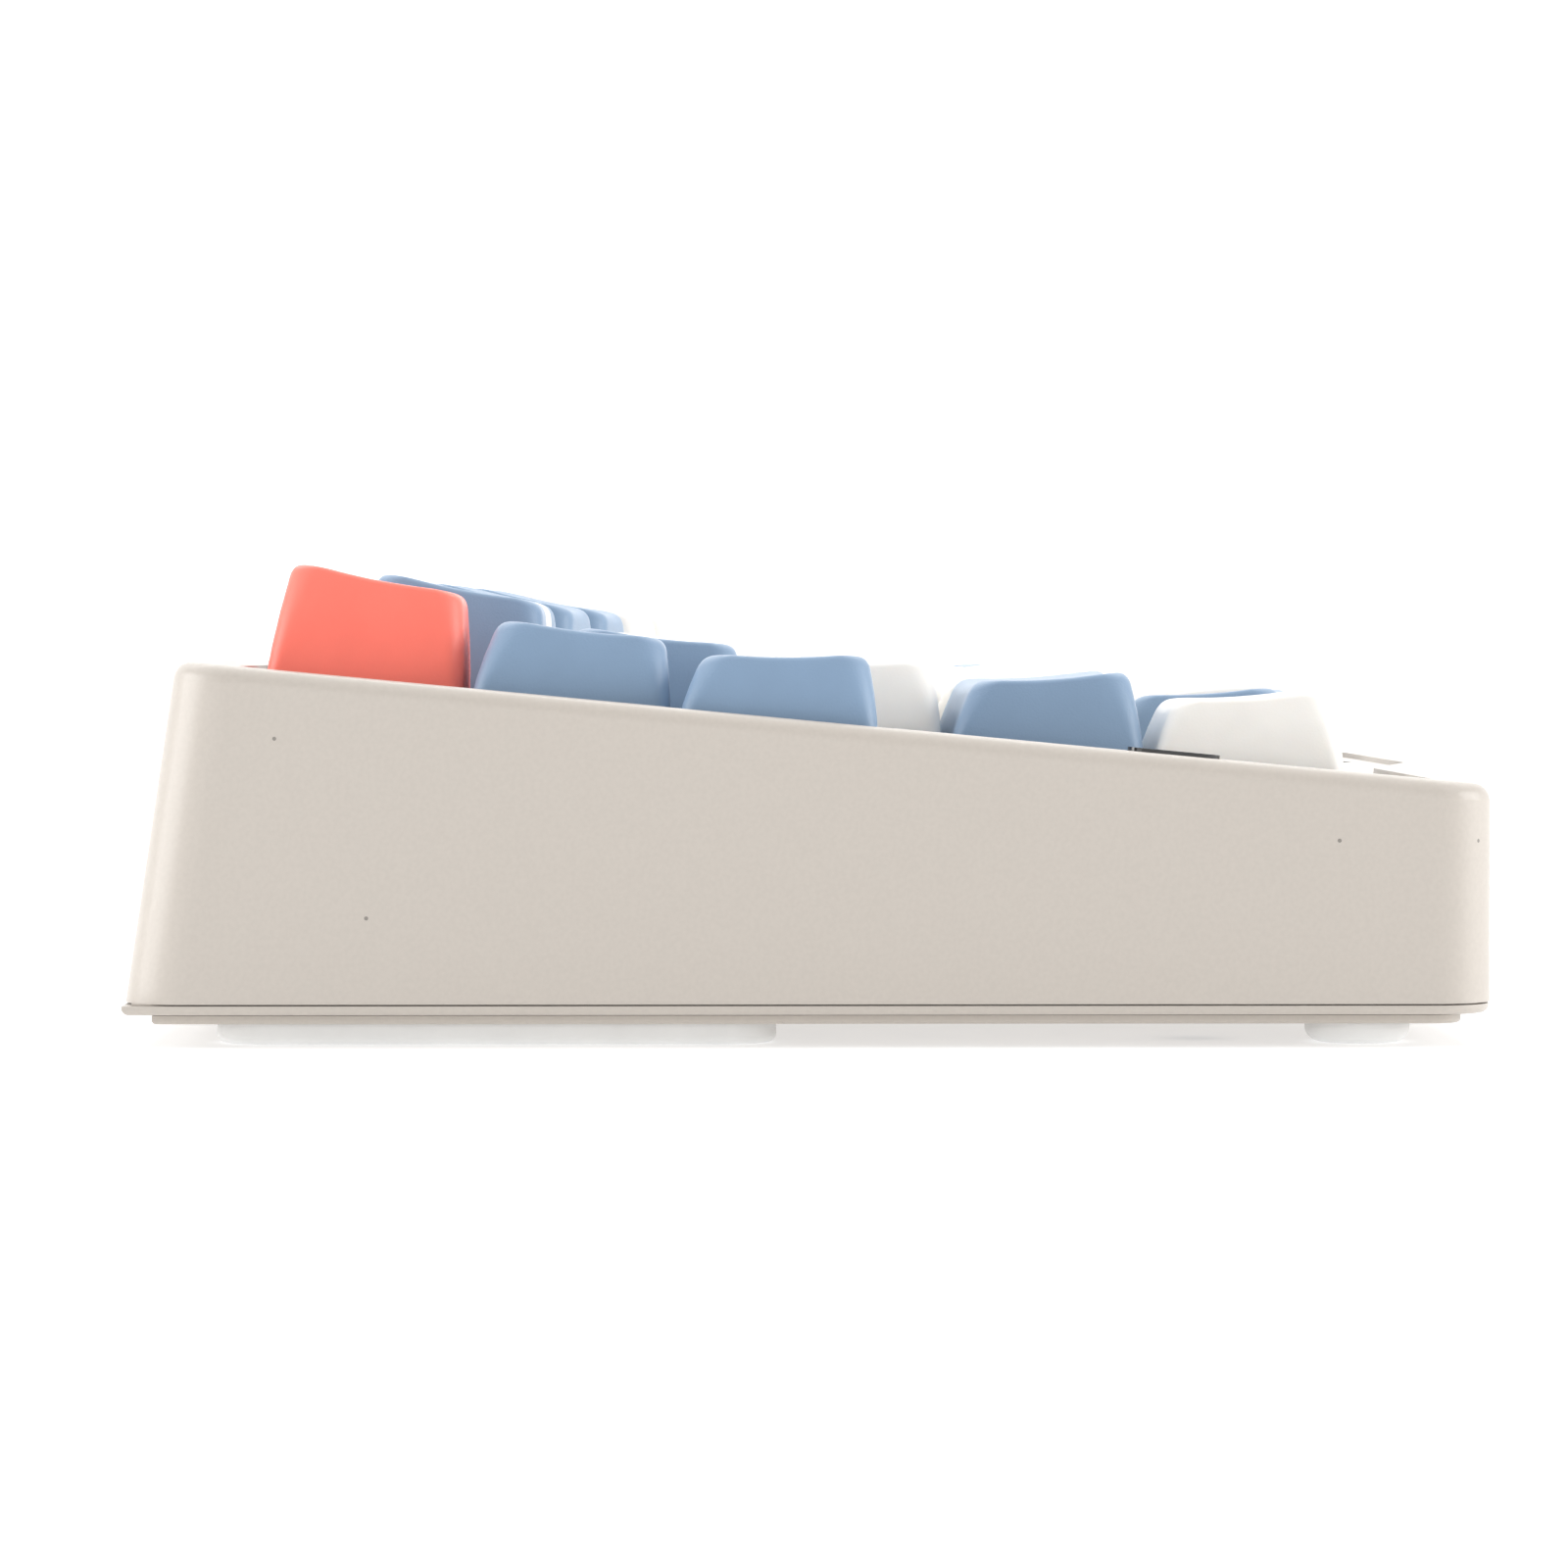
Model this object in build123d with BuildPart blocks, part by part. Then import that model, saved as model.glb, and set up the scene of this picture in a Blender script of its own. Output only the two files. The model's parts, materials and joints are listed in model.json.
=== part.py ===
from build123d import *
from math import cos, radians, sin, tan
import os

# A 66-key mechanical keyboard with its alpha keys in two rotated halves. Millimetres.
# +X is the typist's right, +Y the rear, +Z up. The origin is on the desk, under the middle.

# ---- driving dimensions: the case ----
CASE_WIDTH = 371.0
CASE_DEPTH = 139.5          # from the rear edge to the front of the bow in the middle
FRONT_BOW = 15.5            # how far the middle of the front edge stands out past its ends
BOW_OUTER_X = 132.0         # the front edge is straight outside this
BOW_INNER_X = 30.0          # and inside this
BOW_RADIUS = 70.0
CORNER_RADIUS = 5.5
TYPING_ANGLE = 5.4          # slope of the rim, degrees
RIM_HEIGHT = 28.75          # of the rim's plane above the desk, over the origin
REAR_LEAN = 8.5             # of the rear face from upright, degrees
TOP_FILLET = 1.6
SEAM_HEIGHT = 3.95          # where the top case meets the bottom case
WALL = 4.0
BEZEL = 5.5                 # thickness of the top case's roof, from the rim's plane
RIM_WIDTH = 5.0
DECK_DROP = 0.6             # the deck around the keys lies this far under the rim
WELL_GAP = 0.9              # from a key's cell to the wall of its well
LIP_HEIGHT = 1.0            # the bottom case's outer edge
GROOVE_HEIGHT = 0.16        # of the shadow gaps over the lip and over the cover
GROOVE_DEPTH = 0.9
FLOOR_TOP = 5.5             # upper face of the bottom case's floor
COVER_INSET = 2.6
COVER_BOTTOM = 2.0

# ---- driving dimensions: keys and switches ----
PITCH = 19.05
KEY_GAP = 0.85
CAP_BASE = -1.5             # underside of a keycap's skirt, from the rim's plane
CAP_WALL = 1.4
CAP_ROOF = 1.9              # roof thickness before the dish is cut
CAP_SIDE_DRAFT = 0.33
CAP_EDGE_RADIUS = 1.3
DISH_DEPTH = 0.6
POST_RADIUS = 2.75
CROSS_LENGTH = 4.0
CROSS_WIDTH = 1.15
CROSS_FIT = 0.04
CROSS_TOP = 2.7
SLIDER = (7.0, 5.4)
SLIDER_TOP = -1.1
SLIDER_BOTTOM = -6.4
SPRING_BORE_DEPTH = 3.9
SPRING_BORE = 2.35
SPRING_RADIUS = 2.05
SPRING_WIRE = 0.35
SPRING_HEIGHT = 5.0          # pushed down to the end of the travel
SPRING_BOTTOM = -11.9
PLATE_TOP = -7.6            # from the rim's plane
PLATE_THICKNESS = 1.5
BOARD_TOP = -12.6
BOARD_THICKNESS = 1.6
HOUSING_TOP = -1.0
HOUSING_BODY = 13.9
HOUSING_FLANGE = 15.6
HOUSING_CROWN = (10.0, 10.8)
HOUSING_FLOOR = 0.7
CAP_BLANK = 13.0
CASE_FOAM_THICKNESS = 1.5
STABILISER_BODY = (6.6, 9.0)
STABILISER_TOP = -5.4        # clear of the keycap's post at the end of the travel
STABILISER_SLIDER = (3.8, 5.6)
STABILISER_OFFSET = 11.9
STABILISER_FROM = 2.0       # keys this many units wide and more are stabilised
PLATE_INSET = 5.2
PLATE_REAR_INSET = 8.95
BOARD_INSET = 10.5
BOARD_REAR_INSET = 13.4

# ---- driving dimensions: fasteners, gaskets, socket, feet ----
BOSS_RADIUS = 3.25
BOSS_CLEARANCE = 1.0
BOSS_BOTTOM = 5.6
SCREW_RADIUS = 1.25
SCREW_HEAD_RADIUS = 2.3
SCREW_HEAD_HEIGHT = 1.4
SCREW_LENGTH = 11.0
SCREW_HEX_RADIUS = 1.1
SCREW_PLACES = [(-138.0, 57.5), (-65.5, 57.5), (58.5, 57.5), (172.5, 51.0),
                (175.0, -6.0), (101.0, -36.0), (-3.0, -52.0), (-172.5, -28.0)]
GASKET_SIZE = (16.0, 2.8)
GASKET_PLACES = [(-151.0, 59.4), (-94.0, 59.4), (-25.0, 59.4), (25.0, 59.4), (94.0, 59.4),
                 (150.0, 59.4), (-155.0, -46.9), (155.0, -46.9), (-17.0, -61.8), (17.0, -61.8)]
SOCKET_X = -120.0
SOCKET_HEIGHT = 12.0
SOCKET_MOUTH = (8.94, 3.26)
SOCKET_DEPTH = 7.35
SOCKET_TONGUE = (6.6, 0.7)
SOCKET_RECESS = 0.8
SOCKET_BOARD = (24.0, 16.0)
SOCKET_BOARD_Y = 55.5
BOARD_POST_SPACING = 16.0
REAR_PAD = (9.0, 51.1)
FRONT_FOOT_RADIUS = 4.8
FOOT_X = 176.5
REAR_PAD_Y = 36.2
FRONT_FOOT_Y = -42.6
WINDOW_SIZE = (2.6, 8.6)
WINDOW_PLACE = (-182.1, -25.4)
WINDOW_POCKET = 0.8
WINDOW_PROUD = 0.35

# ---- key layout, in units of one pitch ----
# Each row of a half is an outer group of keys, square to the case, and an inner group in the
# rotated block. A name of None leaves a gap. The column at the far left stands apart.
HALF_ANGLE = 10.0
MAIN_ROW_Y = 41.9           # centre of the number row, along the rim's plane
GROUP_GAP = 0.12 * PITCH
LEFT_BLOCK = (-112.4, 44.4)
RIGHT_BLOCK = (-7.0, 29.4)
SIDE_COLUMN_GAP = 0.2
SIDE_COLUMN_SHIFT = 0.35
SIDE_COLUMN = ["escape", "page_up", "page_down"]
LEFT_ROWS = [
    ([("backquote", 1), ("1", 1)], 0, [("2", 1), ("3", 1), ("4", 1), ("5", 1), ("6", 1)]),
    ([("tab", 1.5), ("q", 1)], 0.5, [("w", 1), ("e", 1), ("r", 1), ("t", 1)]),
    ([("caps_lock", 1.75), ("a", 1)], 0.75, [("s", 1), ("d", 1), ("f", 1), ("g", 1)]),
    ([("left_shift", 2.25), ("z", 1)], 1.25, [("x", 1), ("c", 1), ("v", 1), ("b", 1)]),
    ([("left_control", 1.25), (None, 1.62)], 1.04,
     [("left_alt", 1.25), ("left_space", 2.25), ("function", 1)]),
]
RIGHT_ROWS = [
    ([("minus", 1), ("equals", 1), ("backspace", 2)], 0,
     [("7", 1), ("8", 1), ("9", 1), ("0", 1)]),
    ([("p", 1), ("left_bracket", 1), ("right_bracket", 1), ("backslash", 1.5)], -0.5,
     [("y", 1), ("u", 1), ("i", 1), ("o", 1)]),
    ([("semicolon", 1), ("quote", 1), ("enter", 2.25)], -0.25,
     [("h", 1), ("j", 1), ("k", 1), ("l", 1)]),
    ([("period", 1), ("slash", 1), ("right_shift", 1.75), ("arrow_up", 1)], 0.25,
     [("n", 1), ("m", 1), ("comma", 1)]),
    ([(None, 2.33), ("arrow_left", 1), ("arrow_down", 1), ("arrow_right", 1)], 0.25,
     [("right_space", 2.25), ("right_alt", 1)]),
]
# Keycap height over the skirt at the rear and the front of its top, and how far its rear and
# front faces lean in for each millimetre of height, for rows one to four. Row five is as four.
PROFILES = [(11.8, 10.2, 0.11, 0.11), (8.25, 7.9, 0.24, 0.15),
            (6.75, 8.15, 0.30, 0.20), (6.6, 8.9, 0.30, 0.24), (6.6, 8.9, 0.30, 0.24)]
# Keys of the right half that share a node and move as one, for lack of nodes.
GROUPED = {
    "keys_number_right": ["7", "8", "9", "0", "minus", "equals"],
    "keys_upper_right": ["y", "u", "i", "o", "p", "left_bracket", "right_bracket"],
    "keys_home_right": ["h", "j", "k", "l", "semicolon", "quote"],
    "keys_lower_right": ["n", "m", "comma", "period", "slash"],
    "keys_bottom_right": ["right_alt", "arrow_left", "arrow_down", "arrow_right"],
}

GASKET_HEIGHT = -BEZEL - PLATE_TOP
SOCKET_BOARD_BOTTOM = SOCKET_HEIGHT - SOCKET_MOUTH[1] / 2 - BOARD_THICKNESS
SCREW_SEAT = SEAM_HEIGHT - LIP_HEIGHT + SCREW_HEAD_HEIGHT + 0.1
TILT = radians(TYPING_ANGLE)
REAR_Y = CASE_DEPTH / 2
BOW_Y = -CASE_DEPTH / 2
FRONT_Y = BOW_Y + FRONT_BOW
rim_plane = Plane(origin=(0, 0, RIM_HEIGHT), x_dir=(1, 0, 0), z_dir=(0, -sin(TILT), cos(TILT)))
rear_plane = Plane(origin=(0, REAR_Y, SEAM_HEIGHT), x_dir=(1, 0, 0),
                   z_dir=(0, cos(radians(REAR_LEAN)), sin(radians(REAR_LEAN))))

os.makedirs("parts", exist_ok=True)


def save(builder, name):
    builder.part.label = name
    export_step(builder.part, f"parts/{name}.step")


def case_outline(inset, rear_inset=None):
    """The case's plan, drawn in the current sketch, moved in by inset on every side."""
    side = CASE_WIDTH / 2 - inset
    rear = REAR_Y - (inset if rear_inset is None else rear_inset)
    points = [(-side, rear), (-side, FRONT_Y + inset), (-BOW_OUTER_X, FRONT_Y + inset),
              (-BOW_INNER_X, BOW_Y + inset), (BOW_INNER_X, BOW_Y + inset),
              (BOW_OUTER_X, FRONT_Y + inset), (side, FRONT_Y + inset), (side, rear)]
    Polygon(*points, align=None)
    bends = [v for v in vertices() if BOW_INNER_X - 1 < abs(v.X) < BOW_OUTER_X + 1]
    fillet(bends, BOW_RADIUS)
    fronts = [v for v in vertices() if abs(v.X) > side - 0.01 and v.Y < 0]
    fillet(fronts, max(CORNER_RADIUS - inset, 1.0))


class Key:
    """One key: its name, width in units, row, and its place on the rim's plane."""

    def __init__(self, name, width, row, x, y, angle=0.0):
        self.name = name
        self.width = width
        self.row = row
        self.place = Location((x, y, 0), (0, 0, angle))


def block_point(corner, angle, along, row):
    """The middle of a rotated row's side, so many units along from the block's corner."""
    a = radians(angle)
    return (corner[0] + PITCH * (along * cos(a) + row * sin(a)),
            corner[1] + PITCH * (along * sin(a) - row * cos(a)))


def lay_out_keys():
    """Every key of both halves, from the row tables."""
    keys = []
    wedges = []
    for row, (outer, start, inner) in enumerate(LEFT_ROWS):
        y = MAIN_ROW_Y - row * PITCH
        along = start
        for name, width in inner:
            x, y_in = block_point(LEFT_BLOCK, -HALF_ANGLE, along + width / 2, row)
            keys.append(Key(name, width, row, x, y_in, -HALF_ANGLE))
            along += width
        edge = block_point(LEFT_BLOCK, -HALF_ANGLE, start, row)[0] - GROUP_GAP
        wedges.append((edge, y, block_point(LEFT_BLOCK, -HALF_ANGLE, start, row), -HALF_ANGLE))
        for name, width in reversed(outer):
            if name:
                keys.append(Key(name, width, row, edge - width * PITCH / 2, y))
            edge -= width * PITCH
        if row < len(SIDE_COLUMN):
            x = edge - (SIDE_COLUMN_GAP + 0.5) * PITCH
            keys.append(Key(SIDE_COLUMN[row], 1, row, x, y + SIDE_COLUMN_SHIFT * PITCH))
    for row, (outer, start, inner) in enumerate(RIGHT_ROWS):
        y = MAIN_ROW_Y - row * PITCH
        along = start
        for name, width in inner:
            x, y_in = block_point(RIGHT_BLOCK, HALF_ANGLE, along + width / 2, row)
            keys.append(Key(name, width, row, x, y_in, HALF_ANGLE))
            along += width
        end = block_point(RIGHT_BLOCK, HALF_ANGLE, along, row)
        edge = end[0] + GROUP_GAP
        wedges.append((edge, y, end, HALF_ANGLE))
        for name, width in outer:
            if name:
                keys.append(Key(name, width, row, edge + width * PITCH / 2, y))
            edge += width * PITCH
    return keys, wedges


KEYS, WEDGES = lay_out_keys()
for key in KEYS:
    key.on_rim = rim_plane.location * key.place


def draw_wells():
    """The key wells: every key's cell with a gap, and the wedges between the groups."""
    for key in KEYS:
        with Locations(key.place):
            Rectangle(key.width * PITCH + 2 * WELL_GAP, PITCH + 2 * WELL_GAP)
    half = PITCH / 2 + WELL_GAP
    for edge, y, (end_x, end_y), angle in WEDGES:
        a = radians(angle)
        top = (end_x - half * sin(a), end_y + half * cos(a))
        bottom = (end_x + half * sin(a), end_y - half * cos(a))
        if edge < end_x:
            points = [(edge, y + half), (edge, y - half), bottom, top]
        else:
            points = [(edge, y + half), top, bottom, (edge, y - half)]
        Polygon(*points, align=None)


# ---- top case ----
with BuildPart() as case_cavity:
    with BuildSketch(Plane.XY.offset(SEAM_HEIGHT)):
        case_outline(WALL, 0)
    extrude(amount=2 * RIM_HEIGHT)
    split(bisect_by=rim_plane.offset(-BEZEL), keep=Keep.BOTTOM)
    split(bisect_by=rear_plane.offset(-WALL), keep=Keep.BOTTOM)

with BuildPart() as top_case:
    with BuildSketch(Plane.XY.offset(SEAM_HEIGHT)):
        case_outline(0)
    extrude(amount=2 * RIM_HEIGHT)
    split(bisect_by=rim_plane, keep=Keep.BOTTOM)
    split(bisect_by=rear_plane, keep=Keep.BOTTOM)
    rear_face = top_case.faces().sort_by(Axis.Y)[-1]
    rear_uprights = [e for e in rear_face.edges() if e.bounding_box().size.Z > 10]
    fillet(rear_uprights, CORNER_RADIUS)
    rim_face = top_case.faces().sort_by(Axis.Z)[-1]
    fillet(rim_face.edges(), TOP_FILLET)
    with BuildSketch(rim_plane):
        case_outline(RIM_WIDTH, RIM_WIDTH + 5.0)
    extrude(amount=-DECK_DROP, mode=Mode.SUBTRACT)
    with BuildSketch(rim_plane):
        draw_wells()
    extrude(amount=-BEZEL - 1, mode=Mode.SUBTRACT)
    add(case_cavity.part, mode=Mode.SUBTRACT)
    slivers_between_wells = top_case.solids().sort_by(SortBy.VOLUME)[:-1]
    add(slivers_between_wells, mode=Mode.SUBTRACT)
    with BuildSketch(Plane.XY.offset(BOSS_BOTTOM)):
        with Locations(*SCREW_PLACES):
            Circle(BOSS_RADIUS)
    extrude(until=Until.NEXT)
    with Locations(*[Location((x, y, BOSS_BOTTOM), (180, 0, 0)) for x, y in SCREW_PLACES]):
        Hole(SCREW_RADIUS, depth=SCREW_LENGTH)
    with BuildSketch(Plane.XZ.offset(-REAR_Y)):
        with Locations((SOCKET_X, SOCKET_HEIGHT)):
            SlotOverall(SOCKET_MOUTH[0] + 0.6, SOCKET_MOUTH[1] + 0.5)
    extrude(amount=2 * WALL, mode=Mode.SUBTRACT)
    with BuildSketch(rim_plane):
        with Locations(WINDOW_PLACE):
            SlotOverall(WINDOW_SIZE[1], WINDOW_SIZE[0], rotation=90)
    extrude(amount=-WINDOW_POCKET, mode=Mode.SUBTRACT)
save(top_case, "top_case")

# ---- bottom case and bottom cover ----
with BuildPart() as bottom_case:
    with BuildSketch(Plane.XY.offset(SEAM_HEIGHT - LIP_HEIGHT)):
        case_outline(0.1)
    extrude(amount=LIP_HEIGHT - GROOVE_HEIGHT)
    lip_edges = bottom_case.faces().sort_by(Axis.Z)[0].edges()
    fillet(lip_edges, 0.7)
    with BuildSketch(Plane.XY.offset(SEAM_HEIGHT - GROOVE_HEIGHT)):
        case_outline(GROOVE_DEPTH)
    extrude(amount=GROOVE_HEIGHT)
    with BuildSketch(Plane.XY.offset(SEAM_HEIGHT)):
        case_outline(WALL + 0.3)
    extrude(amount=FLOOR_TOP - SEAM_HEIGHT)
    with BuildSketch(Plane.XY.offset(FLOOR_TOP)):
        with Locations(*GASKET_PLACES):
            Rectangle(*GASKET_SIZE)
    extrude(amount=RIM_HEIGHT)
    split(bisect_by=rim_plane.offset(PLATE_TOP - PLATE_THICKNESS - GASKET_HEIGHT),
          keep=Keep.BOTTOM)
    with BuildSketch(Plane.XY.offset(FLOOR_TOP)):
        with GridLocations(BOARD_POST_SPACING, 0, 2, 1):
            with Locations((SOCKET_X, SOCKET_BOARD_Y)):
                Rectangle(4, 10)
    extrude(amount=SOCKET_BOARD_BOTTOM - FLOOR_TOP)
    with Locations(*[Location((x, y, SEAM_HEIGHT - LIP_HEIGHT), (180, 0, 0))
                     for x, y in SCREW_PLACES]):
        CounterBoreHole(SCREW_RADIUS + 0.15, SCREW_HEAD_RADIUS + 0.2, SCREW_HEAD_HEIGHT + 0.1)
save(bottom_case, "bottom_case")

with BuildPart() as base_cover:
    with BuildSketch(Plane.XY.offset(COVER_BOTTOM)):
        case_outline(COVER_INSET)
    extrude(amount=SEAM_HEIGHT - LIP_HEIGHT - GROOVE_HEIGHT - COVER_BOTTOM)
    with BuildSketch(Plane.XY.offset(SEAM_HEIGHT - LIP_HEIGHT)):
        case_outline(COVER_INSET + GROOVE_DEPTH)
    extrude(amount=-GROOVE_HEIGHT)
    with BuildSketch(Plane.XY.offset(COVER_BOTTOM)):
        with Locations(*SCREW_PLACES):
            Circle(SCREW_HEAD_RADIUS + 0.3)
    extrude(amount=SEAM_HEIGHT - LIP_HEIGHT - COVER_BOTTOM, mode=Mode.SUBTRACT)
    fillet(base_cover.faces().sort_by(Axis.Z)[0].outer_wire().edges(), 0.4)
save(base_cover, "base_cover")


# ---- switch plate, circuit board and foams ----
def cut_for_bosses():
    """Clearance for the screw bosses, straight down through a tilted sheet."""
    with BuildSketch(Plane.XY) as boss_clearance:
        with Locations(*SCREW_PLACES):
            Circle(BOSS_RADIUS + BOSS_CLEARANCE)
    extrude(boss_clearance.sketch, amount=2 * RIM_HEIGHT, mode=Mode.SUBTRACT)


def cut_for_switches(size):
    """A square hole for each switch and a slot for each stabiliser, in the current sketch."""
    for key in KEYS:
        with Locations(key.place):
            Rectangle(size, size, mode=Mode.SUBTRACT)
            if key.width >= STABILISER_FROM:
                with Locations((-STABILISER_OFFSET, 0), (STABILISER_OFFSET, 0)):
                    Rectangle(STABILISER_BODY[0] + size - HOUSING_BODY + 0.3,
                              STABILISER_BODY[1] + size - HOUSING_BODY + 0.3, mode=Mode.SUBTRACT)


with BuildPart() as switch_plate:
    with BuildSketch(rim_plane.offset(PLATE_TOP)):
        case_outline(PLATE_INSET, PLATE_REAR_INSET)
        cut_for_switches(14.0)
    extrude(amount=-PLATE_THICKNESS)
    cut_for_bosses()
save(switch_plate, "switch_plate")

with BuildPart() as plate_foam:
    with BuildSketch(rim_plane.offset(PLATE_TOP - PLATE_THICKNESS)):
        case_outline(BOARD_INSET, BOARD_REAR_INSET)
        cut_for_switches(14.4)
    extrude(amount=BOARD_TOP - PLATE_TOP + PLATE_THICKNESS)
    cut_for_bosses()
save(plate_foam, "plate_foam")

with BuildPart() as circuit_board:
    with BuildSketch(rim_plane.offset(BOARD_TOP)):
        case_outline(BOARD_INSET, BOARD_REAR_INSET)
    extrude(amount=-BOARD_THICKNESS)
    cut_for_bosses()
save(circuit_board, "circuit_board")

with BuildPart() as case_foam:
    with BuildSketch(Plane.XY.offset(FLOOR_TOP)):
        case_outline(BOARD_INSET, BOARD_REAR_INSET + 12)
        with Locations(*SCREW_PLACES):
            Circle(BOSS_RADIUS + BOSS_CLEARANCE, mode=Mode.SUBTRACT)
    extrude(amount=CASE_FOAM_THICKNESS)
save(case_foam, "case_foam")


# ---- screws, gaskets, feet and indicator window ----
with BuildPart() as case_screws:
    with BuildSketch(Plane.XY.offset(SCREW_SEAT)):
        with Locations(*SCREW_PLACES):
            Circle(SCREW_HEAD_RADIUS)
    extrude(amount=-SCREW_HEAD_HEIGHT)
    with BuildSketch(Plane.XY.offset(SCREW_SEAT - SCREW_HEAD_HEIGHT)):
        with Locations(*SCREW_PLACES):
            RegularPolygon(SCREW_HEX_RADIUS, 6)
    extrude(amount=0.8, mode=Mode.SUBTRACT)
    with BuildSketch(Plane.XY.offset(SCREW_SEAT)):
        with Locations(*SCREW_PLACES):
            Circle(SCREW_RADIUS - 0.05)
    extrude(amount=SCREW_LENGTH - 1)
save(case_screws, "case_screws")

with BuildPart() as gasket_pads:
    for top_height in (-BEZEL, PLATE_TOP - PLATE_THICKNESS):
        drift = (top_height - GASKET_HEIGHT / 2) * sin(TILT)
        with BuildSketch(rim_plane.offset(top_height)):
            with Locations(*[(x, (y + drift) / cos(TILT)) for x, y in GASKET_PLACES]):
                Rectangle(GASKET_SIZE[0], GASKET_SIZE[1] - 0.4)
        extrude(amount=-GASKET_HEIGHT)
save(gasket_pads, "gasket_pads")

with BuildPart() as rear_feet:
    with BuildSketch():
        with Locations((-FOOT_X, REAR_PAD_Y), (FOOT_X, REAR_PAD_Y)):
            SlotOverall(REAR_PAD[1], REAR_PAD[0], rotation=90)
    extrude(amount=COVER_BOTTOM)
    fillet(rear_feet.edges().group_by(Axis.Z)[0], 0.8)
save(rear_feet, "rear_feet")

with BuildPart() as front_feet:
    with BuildSketch(Plane.XY.offset(COVER_BOTTOM)):
        with Locations((-FOOT_X, FRONT_FOOT_Y), (FOOT_X, FRONT_FOOT_Y)):
            Circle(FRONT_FOOT_RADIUS)
    extrude(amount=-COVER_BOTTOM)
    fillet(front_feet.edges().group_by(Axis.Z)[0], 1.4)
save(front_feet, "front_feet")

with BuildPart() as indicator_window:
    with BuildSketch(rim_plane.offset(-WINDOW_POCKET)):
        with Locations(WINDOW_PLACE):
            SlotOverall(WINDOW_SIZE[1] - 0.2, WINDOW_SIZE[0] - 0.2, rotation=90)
    extrude(amount=WINDOW_POCKET + WINDOW_PROUD)
save(indicator_window, "indicator_window")

# ---- socket for the lead, and its board ----
socket_mouth_y = rear_plane.origin.Y - SOCKET_RECESS - (SOCKET_HEIGHT - SEAM_HEIGHT) * tan(
    radians(REAR_LEAN))
with BuildPart() as usb_socket:
    with BuildSketch(Plane.XZ.offset(-socket_mouth_y)):
        with Locations((SOCKET_X, SOCKET_HEIGHT)):
            SlotOverall(*SOCKET_MOUTH)
            SlotOverall(SOCKET_MOUTH[0] - 0.6, SOCKET_MOUTH[1] - 0.6, mode=Mode.SUBTRACT)
    extrude(amount=SOCKET_DEPTH)
    with BuildSketch(Plane.XZ.offset(-socket_mouth_y + SOCKET_DEPTH)):
        with Locations((SOCKET_X, SOCKET_HEIGHT)):
            SlotOverall(*SOCKET_MOUTH)
    extrude(amount=-0.8)
    with BuildSketch(Plane.XZ.offset(-socket_mouth_y + SOCKET_DEPTH)):
        with Locations((SOCKET_X, SOCKET_HEIGHT)):
            Rectangle(*SOCKET_TONGUE)
    extrude(amount=-SOCKET_DEPTH + 1.0)
save(usb_socket, "usb_socket")

with BuildPart() as usb_board:
    with BuildSketch(Plane.XY.offset(SOCKET_BOARD_BOTTOM)):
        with Locations((SOCKET_X, SOCKET_BOARD_Y)):
            Rectangle(*SOCKET_BOARD)
    extrude(amount=BOARD_THICKNESS)
    with BuildSketch(Plane.XY.offset(SOCKET_BOARD_BOTTOM + BOARD_THICKNESS)):
        with Locations((SOCKET_X, SOCKET_BOARD_Y - 4)):
            Rectangle(7.5, 5.0)
    extrude(amount=3.0)
save(usb_board, "usb_board")


# ---- switches: every one is built once, at the middle of the rim's plane ----
def cross_sketch(fit=0.0):
    Rectangle(CROSS_LENGTH + 2 * fit, CROSS_WIDTH + 2 * fit)
    Rectangle(CROSS_WIDTH + 2 * fit, CROSS_LENGTH + 2 * fit)


with BuildPart() as housing_unit:
    with BuildSketch(Plane.XY.offset(BOARD_TOP)):
        Rectangle(HOUSING_BODY, HOUSING_BODY)
    extrude(amount=PLATE_TOP - BOARD_TOP)
    with BuildSketch(Plane.XY.offset(PLATE_TOP)):
        Rectangle(HOUSING_FLANGE, HOUSING_FLANGE)
    extrude(amount=1.0)
    with BuildSketch(Plane.XY.offset(PLATE_TOP + 1.0)):
        Rectangle(HOUSING_FLANGE, HOUSING_FLANGE)
    with BuildSketch(Plane.XY.offset(HOUSING_TOP)):
        Rectangle(*HOUSING_CROWN)
    loft()
    with BuildSketch(Plane.XY.offset(HOUSING_TOP)):
        Rectangle(SLIDER[0] + 0.6, SLIDER[1] + 0.6)
    extrude(amount=BOARD_TOP + HOUSING_FLOOR - HOUSING_TOP, mode=Mode.SUBTRACT)

with BuildPart() as stabiliser_unit:
    with BuildSketch(Plane.XY.offset(BOARD_TOP)):
        Rectangle(*STABILISER_BODY)
    extrude(amount=STABILISER_TOP - BOARD_TOP)
    with BuildSketch(Plane.XY.offset(STABILISER_TOP)):
        Rectangle(STABILISER_SLIDER[0] + 0.6, STABILISER_SLIDER[1] + 0.6)
    extrude(amount=BOARD_TOP + HOUSING_FLOOR - STABILISER_TOP, mode=Mode.SUBTRACT)

with BuildPart() as stem_unit:
    with BuildSketch(Plane.XY.offset(SLIDER_BOTTOM)):
        Rectangle(*SLIDER)
    extrude(amount=SLIDER_TOP - SLIDER_BOTTOM)
    with BuildSketch(Plane.XY.offset(SLIDER_TOP)):
        cross_sketch()
    extrude(amount=CROSS_TOP - SLIDER_TOP)
    with BuildSketch(Plane.XY.offset(SLIDER_BOTTOM)):
        Circle(SPRING_BORE)
    extrude(amount=SPRING_BORE_DEPTH, mode=Mode.SUBTRACT)

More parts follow.
